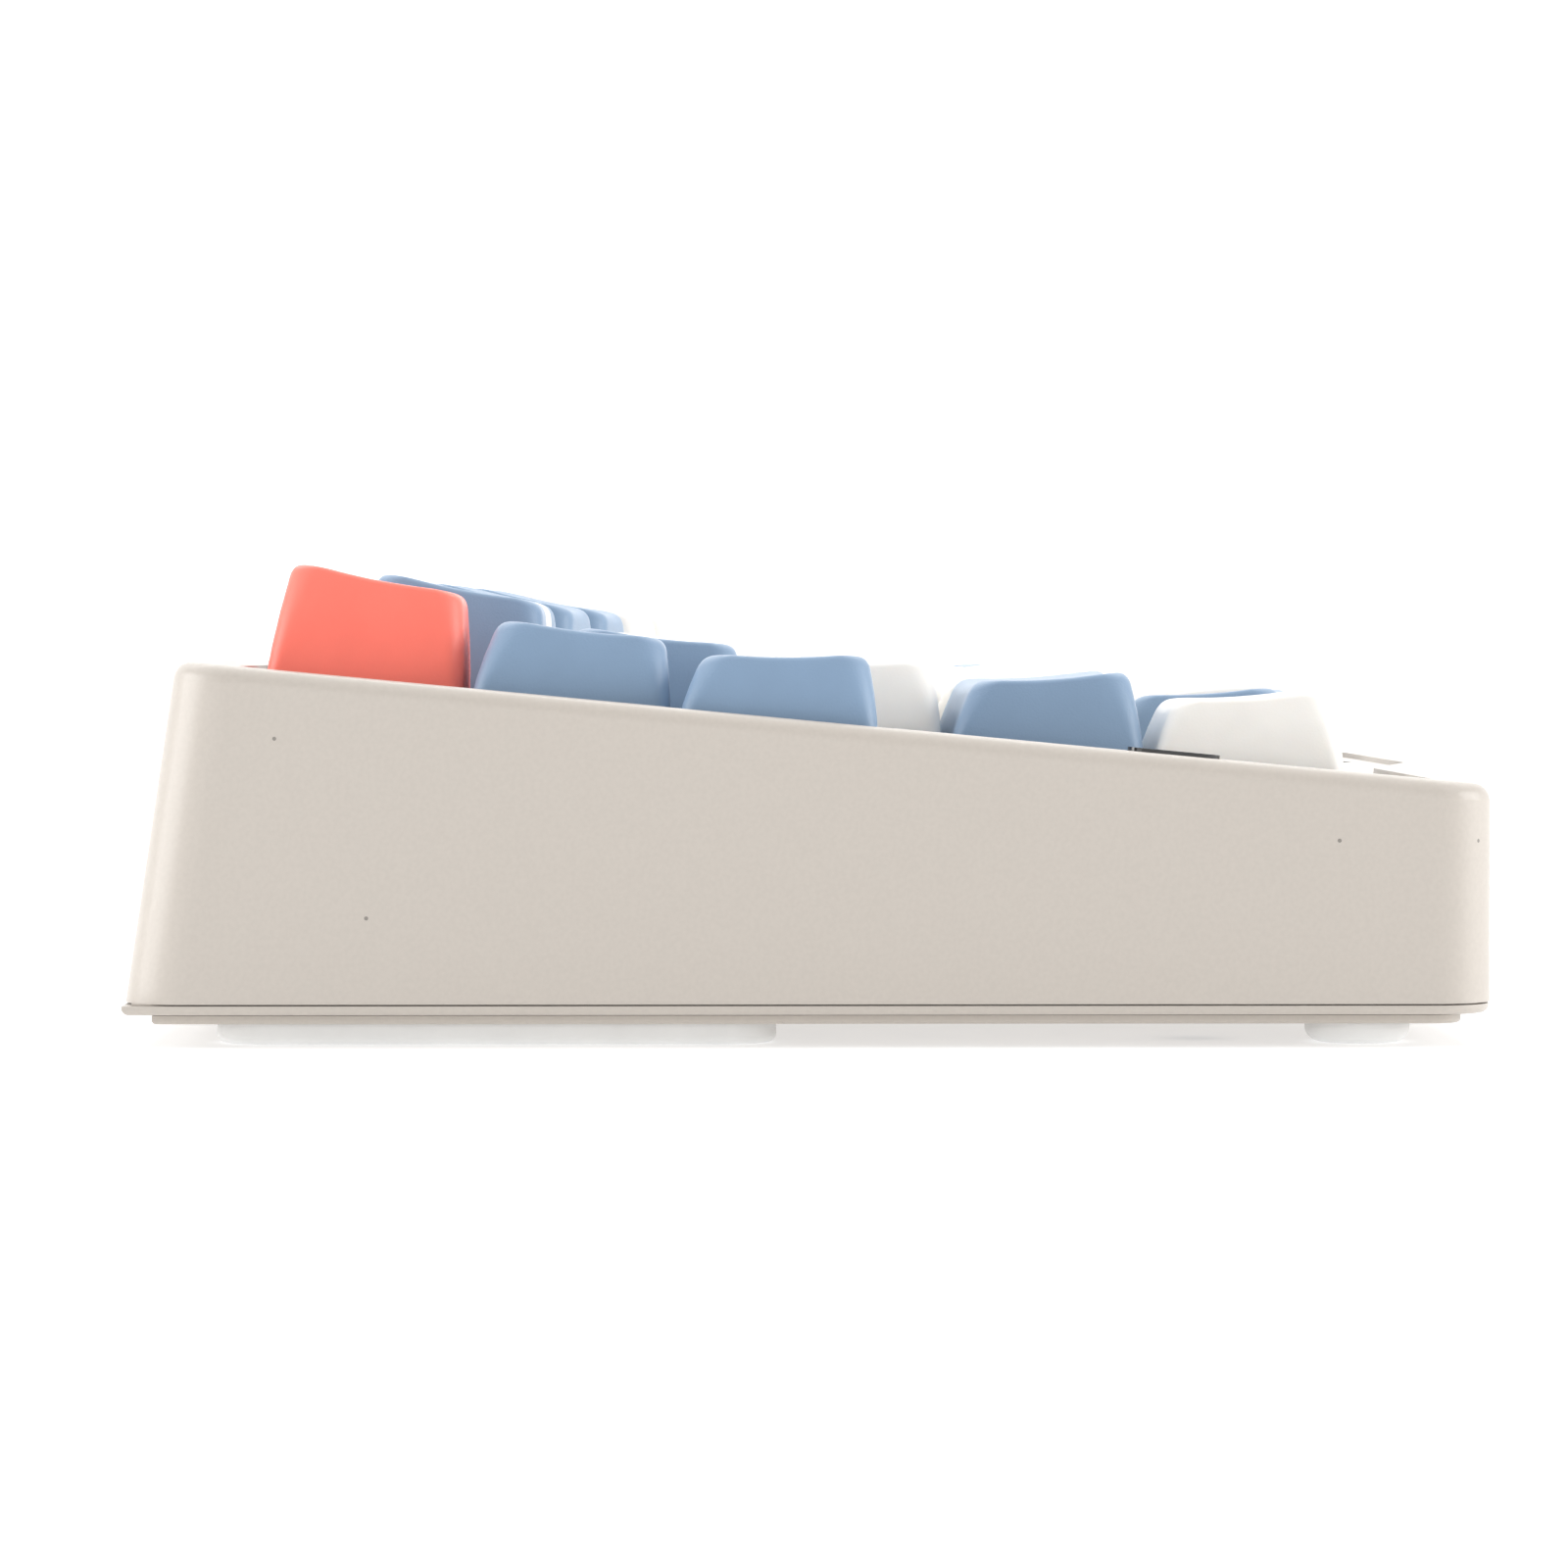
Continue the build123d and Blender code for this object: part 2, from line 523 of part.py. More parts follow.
with BuildPart() as stabiliser_stem_unit:
    with BuildSketch(Plane.XY.offset(SLIDER_BOTTOM - 1)):
        Rectangle(*STABILISER_SLIDER)
    extrude(amount=SLIDER_TOP - 0.8 - SLIDER_BOTTOM + 1)
    with BuildSketch(Plane.XY.offset(SLIDER_TOP - 0.8)):
        cross_sketch()
    extrude(amount=CROSS_TOP - SLIDER_TOP + 0.8)

with BuildPart() as spring_unit:
    with BuildSketch(Plane.XY.offset(SPRING_BOTTOM)):
        Circle(SPRING_RADIUS)
        Circle(SPRING_RADIUS - SPRING_WIRE, mode=Mode.SUBTRACT)
    extrude(amount=SPRING_HEIGHT)


def stabiliser_places(key):
    """Where a wide key's two stabiliser stems stand, or none."""
    if key.width < STABILISER_FROM:
        return []
    return [key.on_rim * Location((side * STABILISER_OFFSET, 0, 0)) for side in (-1, 1)]


def group_of(unit, places):
    """One node made of a unit repeated at each place, as separate solids."""
    with BuildPart() as node:
        with Locations(*places):
            add(unit.part, clean=False)
    return node


save(group_of(housing_unit, [key.on_rim for key in KEYS]), "switch_housings")
save(group_of(spring_unit, [key.on_rim for key in KEYS]), "switch_springs")
save(group_of(stabiliser_unit, [place for key in KEYS for place in stabiliser_places(key)]),
     "stabiliser_housings")


# ---- keys ----
def cap_tube(width, row, wall):
    """A keycap's sloping sides, moved in by wall, up past its top."""
    rear_draft, front_draft = PROFILES[row][2:]
    half_x = (width * PITCH - KEY_GAP) / 2 - wall
    half_y = (PITCH - KEY_GAP) / 2 - wall
    with BuildPart() as tube:
        for height in (0, CAP_BLANK):
            with BuildSketch(Plane.XY.offset(CAP_BASE + height)):
                x = half_x - CAP_SIDE_DRAFT * height
                rear = half_y - rear_draft * height
                front = half_y - front_draft * height
                Polygon((-x, -front), (x, -front), (x, rear), (-x, rear), align=None)
        loft()
    return tube.part


def cap_top_plane(row):
    """The plane of a keycap's top, before its dish."""
    rear_height, front_height, rear_draft, front_draft = PROFILES[row]
    half = (PITCH - KEY_GAP) / 2
    rear_y = half - rear_draft * rear_height
    front_y = front_draft * front_height - half
    slope = (rear_height - front_height) / (rear_y - front_y)
    middle = front_height - slope * front_y
    return Plane(origin=(0, 0, CAP_BASE + middle), x_dir=(1, 0, 0), z_dir=(0, -slope, 1))


def cap_unit(width, row):
    """A keycap: a hollow cup with a dished top and a socketed post for each stem."""
    top = cap_top_plane(row)
    half_top = (width * PITCH - KEY_GAP) / 2 - CAP_SIDE_DRAFT * (top.origin.Z - CAP_BASE)
    dish_radius = half_top ** 2 / (2 * DISH_DEPTH)
    posts = [(0, 0)]
    if width >= STABILISER_FROM:
        posts += [(-STABILISER_OFFSET, 0), (STABILISER_OFFSET, 0)]
    is_space = row == 4 and width > 2
    with BuildPart() as hollow:
        add(cap_tube(width, row, CAP_WALL))
        split(bisect_by=top.offset(-CAP_ROOF), keep=Keep.BOTTOM)
    with BuildPart() as cap:
        add(cap_tube(width, row, 0))
        uprights = cap.edges().filter_by(lambda e: e.bounding_box().size.Z > CAP_BLANK / 2)
        fillet(uprights, CAP_EDGE_RADIUS)
        split(bisect_by=top, keep=Keep.BOTTOM)
        if not is_space:
            dish_end = Plane(origin=top.origin, x_dir=top.x_dir, z_dir=top.y_dir)
            with BuildSketch(dish_end.offset(-PITCH)):
                with Locations((0, DISH_DEPTH - dish_radius)):
                    Circle(dish_radius)
            extrude(amount=2 * PITCH, mode=Mode.SUBTRACT)
        add(hollow.part, mode=Mode.SUBTRACT)
        with BuildSketch(Plane.XY.offset(HOUSING_TOP)):
            with Locations(*posts):
                Circle(POST_RADIUS)
        extrude(amount=top.origin.Z - 1.25 - HOUSING_TOP)
        with BuildSketch(Plane.XY.offset(HOUSING_TOP)):
            with Locations(*posts):
                cross_sketch(CROSS_FIT)
        extrude(amount=CROSS_TOP + 0.1 - HOUSING_TOP, mode=Mode.SUBTRACT)
    return cap.part


cap_shapes = {}


def key_node(keys):
    """A node of one or more whole keys, each a keycap and the stems pressed into it."""
    with BuildPart() as node:
        for key in keys:
            shape = (key.width, key.row)
            if shape not in cap_shapes:
                cap_shapes[shape] = cap_unit(*shape)
            with Locations(key.on_rim):
                add(cap_shapes[shape], clean=False)
                add(stem_unit.part, clean=False)
            if stabiliser_places(key):
                with Locations(*stabiliser_places(key)):
                    add(stabiliser_stem_unit.part, clean=False)
    return node


key_by_name = {key.name: key for key in KEYS}
grouped_names = [name for names in GROUPED.values() for name in names]
for key in KEYS:
    if key.name not in grouped_names:
        save(key_node([key]), f"key_{key.name}")
for node_name, names in GROUPED.items():
    save(key_node([key_by_name[name] for name in names]), node_name)
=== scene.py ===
import json
from math import atan2, cos, pi, radians, sin

import bmesh
import bpy
from mathutils import Matrix, Vector


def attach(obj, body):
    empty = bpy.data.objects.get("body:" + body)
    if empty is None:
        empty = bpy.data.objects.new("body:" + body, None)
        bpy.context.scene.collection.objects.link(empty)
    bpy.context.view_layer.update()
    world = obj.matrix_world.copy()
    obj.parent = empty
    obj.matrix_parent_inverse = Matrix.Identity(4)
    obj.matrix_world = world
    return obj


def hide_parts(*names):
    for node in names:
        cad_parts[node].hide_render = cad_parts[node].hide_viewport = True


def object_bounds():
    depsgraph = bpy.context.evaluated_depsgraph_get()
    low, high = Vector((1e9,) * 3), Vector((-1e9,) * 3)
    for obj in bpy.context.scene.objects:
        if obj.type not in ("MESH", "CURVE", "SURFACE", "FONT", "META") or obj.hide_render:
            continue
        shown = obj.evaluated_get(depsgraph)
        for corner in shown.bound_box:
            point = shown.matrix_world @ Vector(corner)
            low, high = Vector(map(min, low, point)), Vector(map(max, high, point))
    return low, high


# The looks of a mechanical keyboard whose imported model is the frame. Metres, +Z up, +Y the rear.
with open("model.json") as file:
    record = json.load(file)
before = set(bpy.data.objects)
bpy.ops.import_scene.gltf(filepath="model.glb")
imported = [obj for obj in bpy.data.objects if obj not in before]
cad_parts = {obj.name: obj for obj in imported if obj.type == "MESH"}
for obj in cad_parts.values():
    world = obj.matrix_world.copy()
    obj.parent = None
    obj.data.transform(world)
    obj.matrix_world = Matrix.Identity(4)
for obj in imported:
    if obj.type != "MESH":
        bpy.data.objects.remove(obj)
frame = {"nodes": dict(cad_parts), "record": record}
cad_low, cad_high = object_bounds()

MM = 0.001
SLOT_OF = {entry["node"]: entry["material_slot"] for entry in frame["record"]["subparts"]}
BODY_OF = {node: body for body, nodes in frame["record"]["behaviour"]["bodies"].items()
           for node in nodes}
PRESS = Vector(frame["record"]["behaviour"]["joints"][0]["axis"]).normalized()

# ---- keycap shape, in millimetres ----
BLOCK_ANGLES = (-10.0, 0.0, 10.0)   # how far a block of keys may be turned, degrees
CAP_WALL = 1.4
CAP_ROOF = 1.9
SIDE_DRAFT = 0.33                   # how far a side leans in for each millimetre of height
BULGE = 0.5                         # 0 for flat sides; more keeps them upright for longer
SIDE_ROUND = 0.45                   # round between the top and the left and right sides
END_ROUND = 1.3                     # and between the top and the rear and front
DISH = 0.45                         # depth of the dish along each axis
BASE_CORNER = 1.2
TOP_CORNER = 2.7
MIN_CORNER = 0.3                    # no corner of a ring is sharper than this
CORNER_SHARE = 0.6                  # how much of an inset is also taken off the corner's radius
CORNER_STEPS = 7
SIDE_STEPS = 9                      # along a keycap's edge, for each key pitch
PITCH = 19.05
FOOT_ROUND = (0.15, 0.12)           # how far the skirt's lower edge is taken in, and how high up
SIDE_SHARES = (0.06, 0.35, 0.68, 1.0)                       # rings up the sides, from the skirt
ROUND_SHARES = (0.14, 0.3, 0.45, 0.6, 0.75, 0.88, 1.0)      # over the round under the top
TOP_SHARES = (0.12, 0.28, 0.45, 0.62, 0.78, 0.9)            # over the top, in to its middle
ROOF_SHARES = (0.03, 0.5, 1.0)                              # up the inside
TOP_PASSES = 3                      # rounds of working out where the sides meet the top
POST_RADIUS = 2.75
POST_STEPS = 24
POST_FOOT = 0.5                     # a post ends this far above the bottom of the skirt
WIDE_POST_OFFSET = 11.9             # of the outer posts, in keycaps with three of them
WIDE_CAP = 36.0                     # a keycap wider than this has three posts

# For each row: the top's height over the skirt at its rear and its front, and how far the rear
# and the front face lean in for each millimetre of height.
PROFILES = [(11.8, 10.2, 0.11, 0.11), (8.25, 7.9, 0.24, 0.15),
            (6.75, 8.15, 0.30, 0.20), (6.6, 8.9, 0.30, 0.24), (6.6, 8.9, 0.30, 0.24)]

# ---- keys: node, row, colour, and the mark on each keycap from left to right ----
KEYS = [
    ("key_escape", 0, "coral", ["ring"]),
    ("key_backquote", 0, "blue", ["dash"]),
    ("key_1", 0, "white", ["1"]), ("key_2", 0, "blue", ["2"]), ("key_3", 0, "blue", ["3"]),
    ("key_4", 0, "blue", ["4"]), ("key_5", 0, "white", ["5"]), ("key_6", 0, "white", ["6"]),
    ("keys_number_right", 0, "white", ["7", "8", "9", "0", "-", "="]),
    ("key_backspace", 0, "blue", ["left"]),
    ("key_page_up", 1, "blue", ["chevron_up"]),
    ("key_tab", 1, "blue", ["tab"]),
    ("key_q", 1, "white", ["Q"]), ("key_w", 1, "white", ["W"]), ("key_e", 1, "white", ["E"]),
    ("key_r", 1, "white", ["R"]), ("key_t", 1, "white", ["T"]),
    ("keys_upper_right", 1, "white", ["Y", "U", "I", "O", "P", "[", "]"]),
    ("key_backslash", 1, "blue", ["slant"]),
    ("key_page_down", 2, "blue", ["chevron_down"]),
    ("key_caps_lock", 2, "white", ["caps"]),
    ("key_a", 2, "white", ["A"]), ("key_s", 2, "white", ["S"]), ("key_d", 2, "white", ["D"]),
    ("key_f", 2, "white", ["F"]), ("key_g", 2, "white", ["G"]),
    ("keys_home_right", 2, "white", ["H", "J", "K", "L", ";", "'"]),
    ("key_enter", 2, "blue", ["enter"]),
    ("key_left_shift", 3, "blue", ["shift"]),
    ("key_z", 3, "white", ["Z"]), ("key_x", 3, "white", ["X"]), ("key_c", 3, "white", ["C"]),
    ("key_v", 3, "white", ["V"]), ("key_b", 3, "white", ["B"]),
    ("keys_lower_right", 3, "white", ["N", "M", ",", ".", "/"]),
    ("key_right_shift", 3, "blue", ["shift"]),
    ("key_arrow_up", 3, "blue", ["up"]),
    ("key_left_control", 4, "white", ["bars"]),
    ("key_left_alt", 4, "blue", ["square"]),
    ("key_left_space", 4, "white", [None]),
    ("key_function", 4, "blue", ["dots"]),
    ("key_right_space", 4, "white", [None]),
    ("keys_bottom_right", 4, "blue", ["square", "left", "down", "right"]),
]


# ---- small helpers ----
def add_object(name, mesh):
    obj = bpy.data.objects.new(name, mesh)
    bpy.context.scene.collection.objects.link(obj)
    return obj


def mesh_from(bm, name, smooth=True):
    """The bmesh as a mesh of that name, with its normals facing out."""
    bmesh.ops.recalc_face_normals(bm, faces=bm.faces)
    mesh = bpy.data.meshes.new(name)
    bm.to_mesh(mesh)
    bm.free()
    for face in mesh.polygons:
        face.use_smooth = smooth
    return mesh


# ---- materials ----
SPECK_CELLS = 140.0                 # cells to a metre, each with one dark speck at most
SPECK_SIZE = 0.026                  # radius of a speck, in cells
FOAM_CELLS = 1600.0                 # cells to a metre
BOARD_SCALE = 90.0                  # of the pattern of copper runs


class Finish:
    """A node material that is put together a few nodes at a time. Sizes are in metres."""

    def __init__(self, name, roughness, metallic=0.0, specular=0.5):
        self.material = bpy.data.materials.new(name)
        self.material.use_nodes = True
        self.tree = self.material.node_tree
        self.shader = self.tree.nodes["Principled BSDF"]
        self.shader.inputs["Roughness"].default_value = roughness
        self.shader.inputs["Metallic"].default_value = metallic
        self.shader.inputs["Specular IOR Level"].default_value = specular
        self.place = self.tree.nodes.new("ShaderNodeTexCoord").outputs["Object"]
        self.bump_normal = None

    def link(self, source, target):
        self.tree.links.new(source, target)

    def noise(self, size, detail=3.0, stretch=(1, 1, 1)):
        """Noise whose features are about size across."""
        mapping = self.tree.nodes.new("ShaderNodeMapping")
        mapping.inputs["Scale"].default_value = [s / size for s in stretch]
        self.link(self.place, mapping.inputs["Vector"])
        noise = self.tree.nodes.new("ShaderNodeTexNoise")
        noise.inputs["Scale"].default_value = 1.0
        noise.inputs["Detail"].default_value = detail
        self.link(mapping.outputs["Vector"], noise.inputs["Vector"])
        return noise.outputs["Fac"]

    def ramp(self, source, *stops):
        """A colour ramp over stops of (position, colour)."""
        ramp = self.tree.nodes.new("ShaderNodeValToRGB")
        elements = ramp.color_ramp.elements
        while len(elements) < len(stops):
            elements.new(0.5)
        for element, (position, color) in zip(elements, stops):
            element.position = position
            element.color = (*color, 1.0)
        self.link(source, ramp.inputs["Fac"])
        return ramp.outputs["Color"]

    def mix(self, fac, a, b):
        """Colour a where fac is 0 and b where it is 1. Each may be a colour or a socket."""
        mix = self.tree.nodes.new("ShaderNodeMix")
        mix.data_type = "RGBA"
        self.link(fac, mix.inputs["Factor"])
        for socket, value in ((mix.inputs["A"], a), (mix.inputs["B"], b)):
            if isinstance(value, tuple):
                socket.default_value = (*value, 1.0)
            else:
                self.link(value, socket)
        return mix.outputs["Result"]

    def color(self, source):
        self.link(source, self.shader.inputs["Base Color"])

    def roughness(self, source, low, high):
        spread = self.tree.nodes.new("ShaderNodeMapRange")
        spread.inputs["To Min"].default_value = low
        spread.inputs["To Max"].default_value = high
        self.link(source, spread.inputs["Value"])
        self.link(spread.outputs["Result"], self.shader.inputs["Roughness"])

    def bump(self, source, depth, strength=1.0):
        """Adds relief of about that depth on top of any that is there already."""
        bump = self.tree.nodes.new("ShaderNodeBump")
        bump.inputs["Distance"].default_value = depth
        bump.inputs["Strength"].default_value = strength
        self.link(source, bump.inputs["Height"])
        if self.bump_normal:
            self.link(self.bump_normal, bump.inputs["Normal"])
        self.bump_normal = bump.outputs["Normal"]
        self.link(self.bump_normal, self.shader.inputs["Normal"])


def shade(color, factor):
    return tuple(min(1.0, channel * factor) for channel in color)


def moulded_plastic(name, color, roughness, grain=0.00022, relief=0.000012, soft=0.0):
    """Fine-grained moulded plastic with a faint cloudiness."""
    finish = Finish(name, roughness, specular=0.4)
    cloud = finish.noise(0.006, 2.0)
    finish.color(finish.ramp(cloud, (0.3, shade(color, 0.97)), (0.7, shade(color, 1.03))))
    grains = finish.noise(grain, 2.0)
    finish.roughness(grains, roughness - 0.06, roughness + 0.06)
    finish.bump(grains, relief)
    if soft:
        finish.shader.inputs["Subsurface Weight"].default_value = soft
        finish.shader.inputs["Subsurface Radius"].default_value = (0.0012, 0.0009, 0.0007)
        finish.shader.inputs["Subsurface Scale"].default_value = 1.0
    return finish.material


def powder_coat(name, color):
    """Satin powder coat: orange peel, fine speckle and a stray dark speck here and there."""
    finish = Finish(name, 0.5, specular=0.45)
    speckle = finish.noise(0.00045, 4.0)
    base = finish.ramp(speckle, (0.35, shade(color, 0.98)), (0.5, color),
                       (0.68, shade(color, 1.02)))
    cells = finish.tree.nodes.new("ShaderNodeTexVoronoi")
    cells.inputs["Scale"].default_value = SPECK_CELLS
    finish.link(finish.place, cells.inputs["Vector"])
    near = finish.tree.nodes.new("ShaderNodeMath")
    near.operation = "LESS_THAN"
    near.inputs[1].default_value = SPECK_SIZE
    finish.link(cells.outputs["Distance"], near.inputs[0])
    finish.color(finish.mix(near.outputs["Value"], base, shade(color, 0.45)))
    finish.roughness(finish.noise(0.004, 2.0), 0.44, 0.56)
    finish.bump(finish.noise(0.0011, 2.0), 0.000015)
    finish.bump(speckle, 0.000008)
    finish.shader.inputs["Coat Weight"].default_value = 0.3
    finish.shader.inputs["Coat Roughness"].default_value = 0.25
    return finish.material


def brushed_metal(name, color, roughness, stretch=(1, 12, 12)):
    """Metal with fine streaks along the axis whose stretch is least."""
    finish = Finish(name, roughness, metallic=1.0)
    streaks = finish.noise(0.0009, 4.0, stretch)
    finish.color(finish.ramp(streaks, (0.3, shade(color, 0.85)), (0.7, shade(color, 1.1))))
    finish.roughness(streaks, roughness - 0.08, roughness + 0.1)
    finish.bump(streaks, 0.000008)
    return finish.material


def silicone(name, color):
    """Soft rubber with a faint bloom."""
    finish = Finish(name, 0.45, specular=0.35)
    bloom = finish.noise(0.003, 3.0)
    finish.color(finish.ramp(bloom, (0.3, shade(color, 0.96)), (0.7, color)))
    finish.shader.inputs["Subsurface Weight"].default_value = 0.25
    finish.shader.inputs["Subsurface Radius"].default_value = (0.002, 0.002, 0.002)
    finish.shader.inputs["Subsurface Scale"].default_value = 1.0
    finish.bump(finish.noise(0.0005, 2.0), 0.000015)
    return finish.material


def smoked_window(name):
    """Dark glossy plastic with a faint haze."""
    finish = Finish(name, 0.08, specular=0.6)
    haze = finish.noise(0.0015, 3.0)
    finish.color(finish.ramp(haze, (0.3, (0.006, 0.006, 0.007)), (0.7, (0.012, 0.012, 0.014))))
    finish.roughness(haze, 0.06, 0.12)
    finish.shader.inputs["Coat Weight"].default_value = 0.5
    finish.shader.inputs["Coat Roughness"].default_value = 0.03
    return finish.material


def foam(name, color):
    """Closed-cell foam: small round cells."""
    finish = Finish(name, 0.9, specular=0.2)
    cells = finish.tree.nodes.new("ShaderNodeTexVoronoi")
    cells.inputs["Scale"].default_value = FOAM_CELLS
    finish.link(finish.place, cells.inputs["Vector"])
    finish.color(finish.ramp(cells.outputs["Distance"], (0.1, shade(color, 0.5)), (0.6, color)))
    finish.bump(cells.outputs["Distance"], 0.0001)
    return finish.material


def circuit_board(name):
    """Dark solder mask over faint copper runs."""
    finish = Finish(name, 0.35, specular=0.5)
    bricks = finish.tree.nodes.new("ShaderNodeTexBrick")
    bricks.inputs["Scale"].default_value = BOARD_SCALE
    bricks.inputs["Mortar Size"].default_value = 0.03
    bricks.inputs["Color1"].default_value = (0.010, 0.013, 0.016, 1)
    bricks.inputs["Color2"].default_value = (0.012, 0.016, 0.019, 1)
    bricks.inputs["Mortar"].default_value = (0.025, 0.032, 0.030, 1)
    finish.link(finish.place, bricks.inputs["Vector"])
    finish.color(bricks.outputs["Color"])
    finish.bump(bricks.outputs["Fac"], 0.00003)
    return finish.material


CASE_COLOR = (0.505, 0.462, 0.415)
CORAL = (0.95, 0.195, 0.145)
BLUE = (0.218, 0.318, 0.455)
WHITE = (0.83, 0.815, 0.785)
materials = {
    "case": powder_coat("powder_coat", CASE_COLOR),
    "cover": powder_coat("cover_powder_coat", shade(CASE_COLOR, 1.02)),
    "cap_coral": moulded_plastic("coral_plastic", CORAL, 0.38, soft=0.1),
    "cap_blue": moulded_plastic("blue_plastic", BLUE, 0.38, relief=0.00002),
    "cap_white": moulded_plastic("white_plastic", WHITE, 0.38, soft=0.15),
    "switch": moulded_plastic("switch_plastic", (0.50, 0.52, 0.55), 0.35, grain=0.0006),
    "spring": brushed_metal("spring_steel", (0.62, 0.60, 0.56), 0.3),
    "plate": moulded_plastic("plate_plastic", (0.70, 0.69, 0.66), 0.55, grain=0.0004),
    "board": circuit_board("board"),
    "foam": foam("foam", (0.05, 0.05, 0.055)),
    "gasket": silicone("gasket_silicone", (0.09, 0.09, 0.095)),
    "foot": silicone("foot_silicone", (0.85, 0.85, 0.84)),
    "screw": brushed_metal("plated_steel", (0.16, 0.16, 0.17), 0.38),
    "window": smoked_window("smoked_window"),
    "socket": brushed_metal("socket_steel", (0.66, 0.66, 0.67), 0.28, (12, 1, 12)),
}
LIGHT_INK = moulded_plastic("light_ink", (0.84, 0.85, 0.86), 0.5)
DARK_INK = moulded_plastic("dark_ink", (0.05, 0.052, 0.058), 0.5)

for node, obj in frame["nodes"].items():
    obj.data.materials.clear()
    obj.data.materials.append(materials[SLOT_OF[node]])


# ---- where each keycap stands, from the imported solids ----
SAME_POINT = 1e-6                   # metres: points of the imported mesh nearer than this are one


def solids_of(node):
    """The node's separate solids, each as a bmesh whose doubled points are joined."""
    welded = bmesh.new()
    welded.from_mesh(frame["nodes"][node].data)
    bmesh.ops.remove_doubles(welded, verts=welded.verts, dist=SAME_POINT)
    welded.faces.ensure_lookup_table()
    seen = set()
    solids = []
    for start in welded.faces:
        if start.index in seen:
            continue
        seen.add(start.index)
        found = [start]
        for face in found:
            for edge in face.edges:
                for other in edge.link_faces:
                    if other.index not in seen:
                        seen.add(other.index)
                        found.append(other)
        solid = bmesh.new()
        copies = {}
        for face in found:
            for vert in face.verts:
                if vert not in copies:
                    copies[vert] = solid.verts.new(vert.co)
            solid.faces.new([copies[vert] for vert in face.verts])
        solids.append(solid)
    welded.free()
    return solids


UP = -PRESS
ALONG = Vector((1.0, 0.0, 0.0))
BACK = UP.cross(ALONG)


class CapPlace:
    """Where a keycap stands: a matrix from its own axes, with z from its skirt, and its size."""

    def __init__(self, solid):
        points = [(v.co.dot(ALONG), v.co.dot(BACK), v.co.dot(UP)) for v in solid.verts]
        best = None
        for angle in BLOCK_ANGLES:
            c, s = cos(radians(angle)), sin(radians(angle))
            xs = [x * c + y * s for x, y, _ in points]
            ys = [y * c - x * s for x, y, _ in points]
            area = (max(xs) - min(xs)) * (max(ys) - min(ys))
            if best is None or area < best[0]:
                best = (area, angle, xs, ys)
        _, angle, xs, ys = best
        self.width = max(xs) - min(xs)
        self.depth = max(ys) - min(ys)
        base = min(z for _, _, z in points)
        x_axis = Matrix.Rotation(radians(angle), 3, UP) @ ALONG
        y_axis = UP.cross(x_axis)
        middle = (x_axis * (max(xs) + min(xs)) + y_axis * (max(ys) + min(ys))) / 2
        self.matrix = Matrix.Translation(middle + UP * base) @ Matrix(
            (x_axis, y_axis, UP)).transposed().to_4x4()


MIN_CAP = 0.015                     # metres: a stem is narrower than this, and a keycap wider


def left_edge(solid):
    return min(v.co.x for v in solid.verts)


def is_cap(solid):
    return max(v.co.x for v in solid.verts) - left_edge(solid) > MIN_CAP


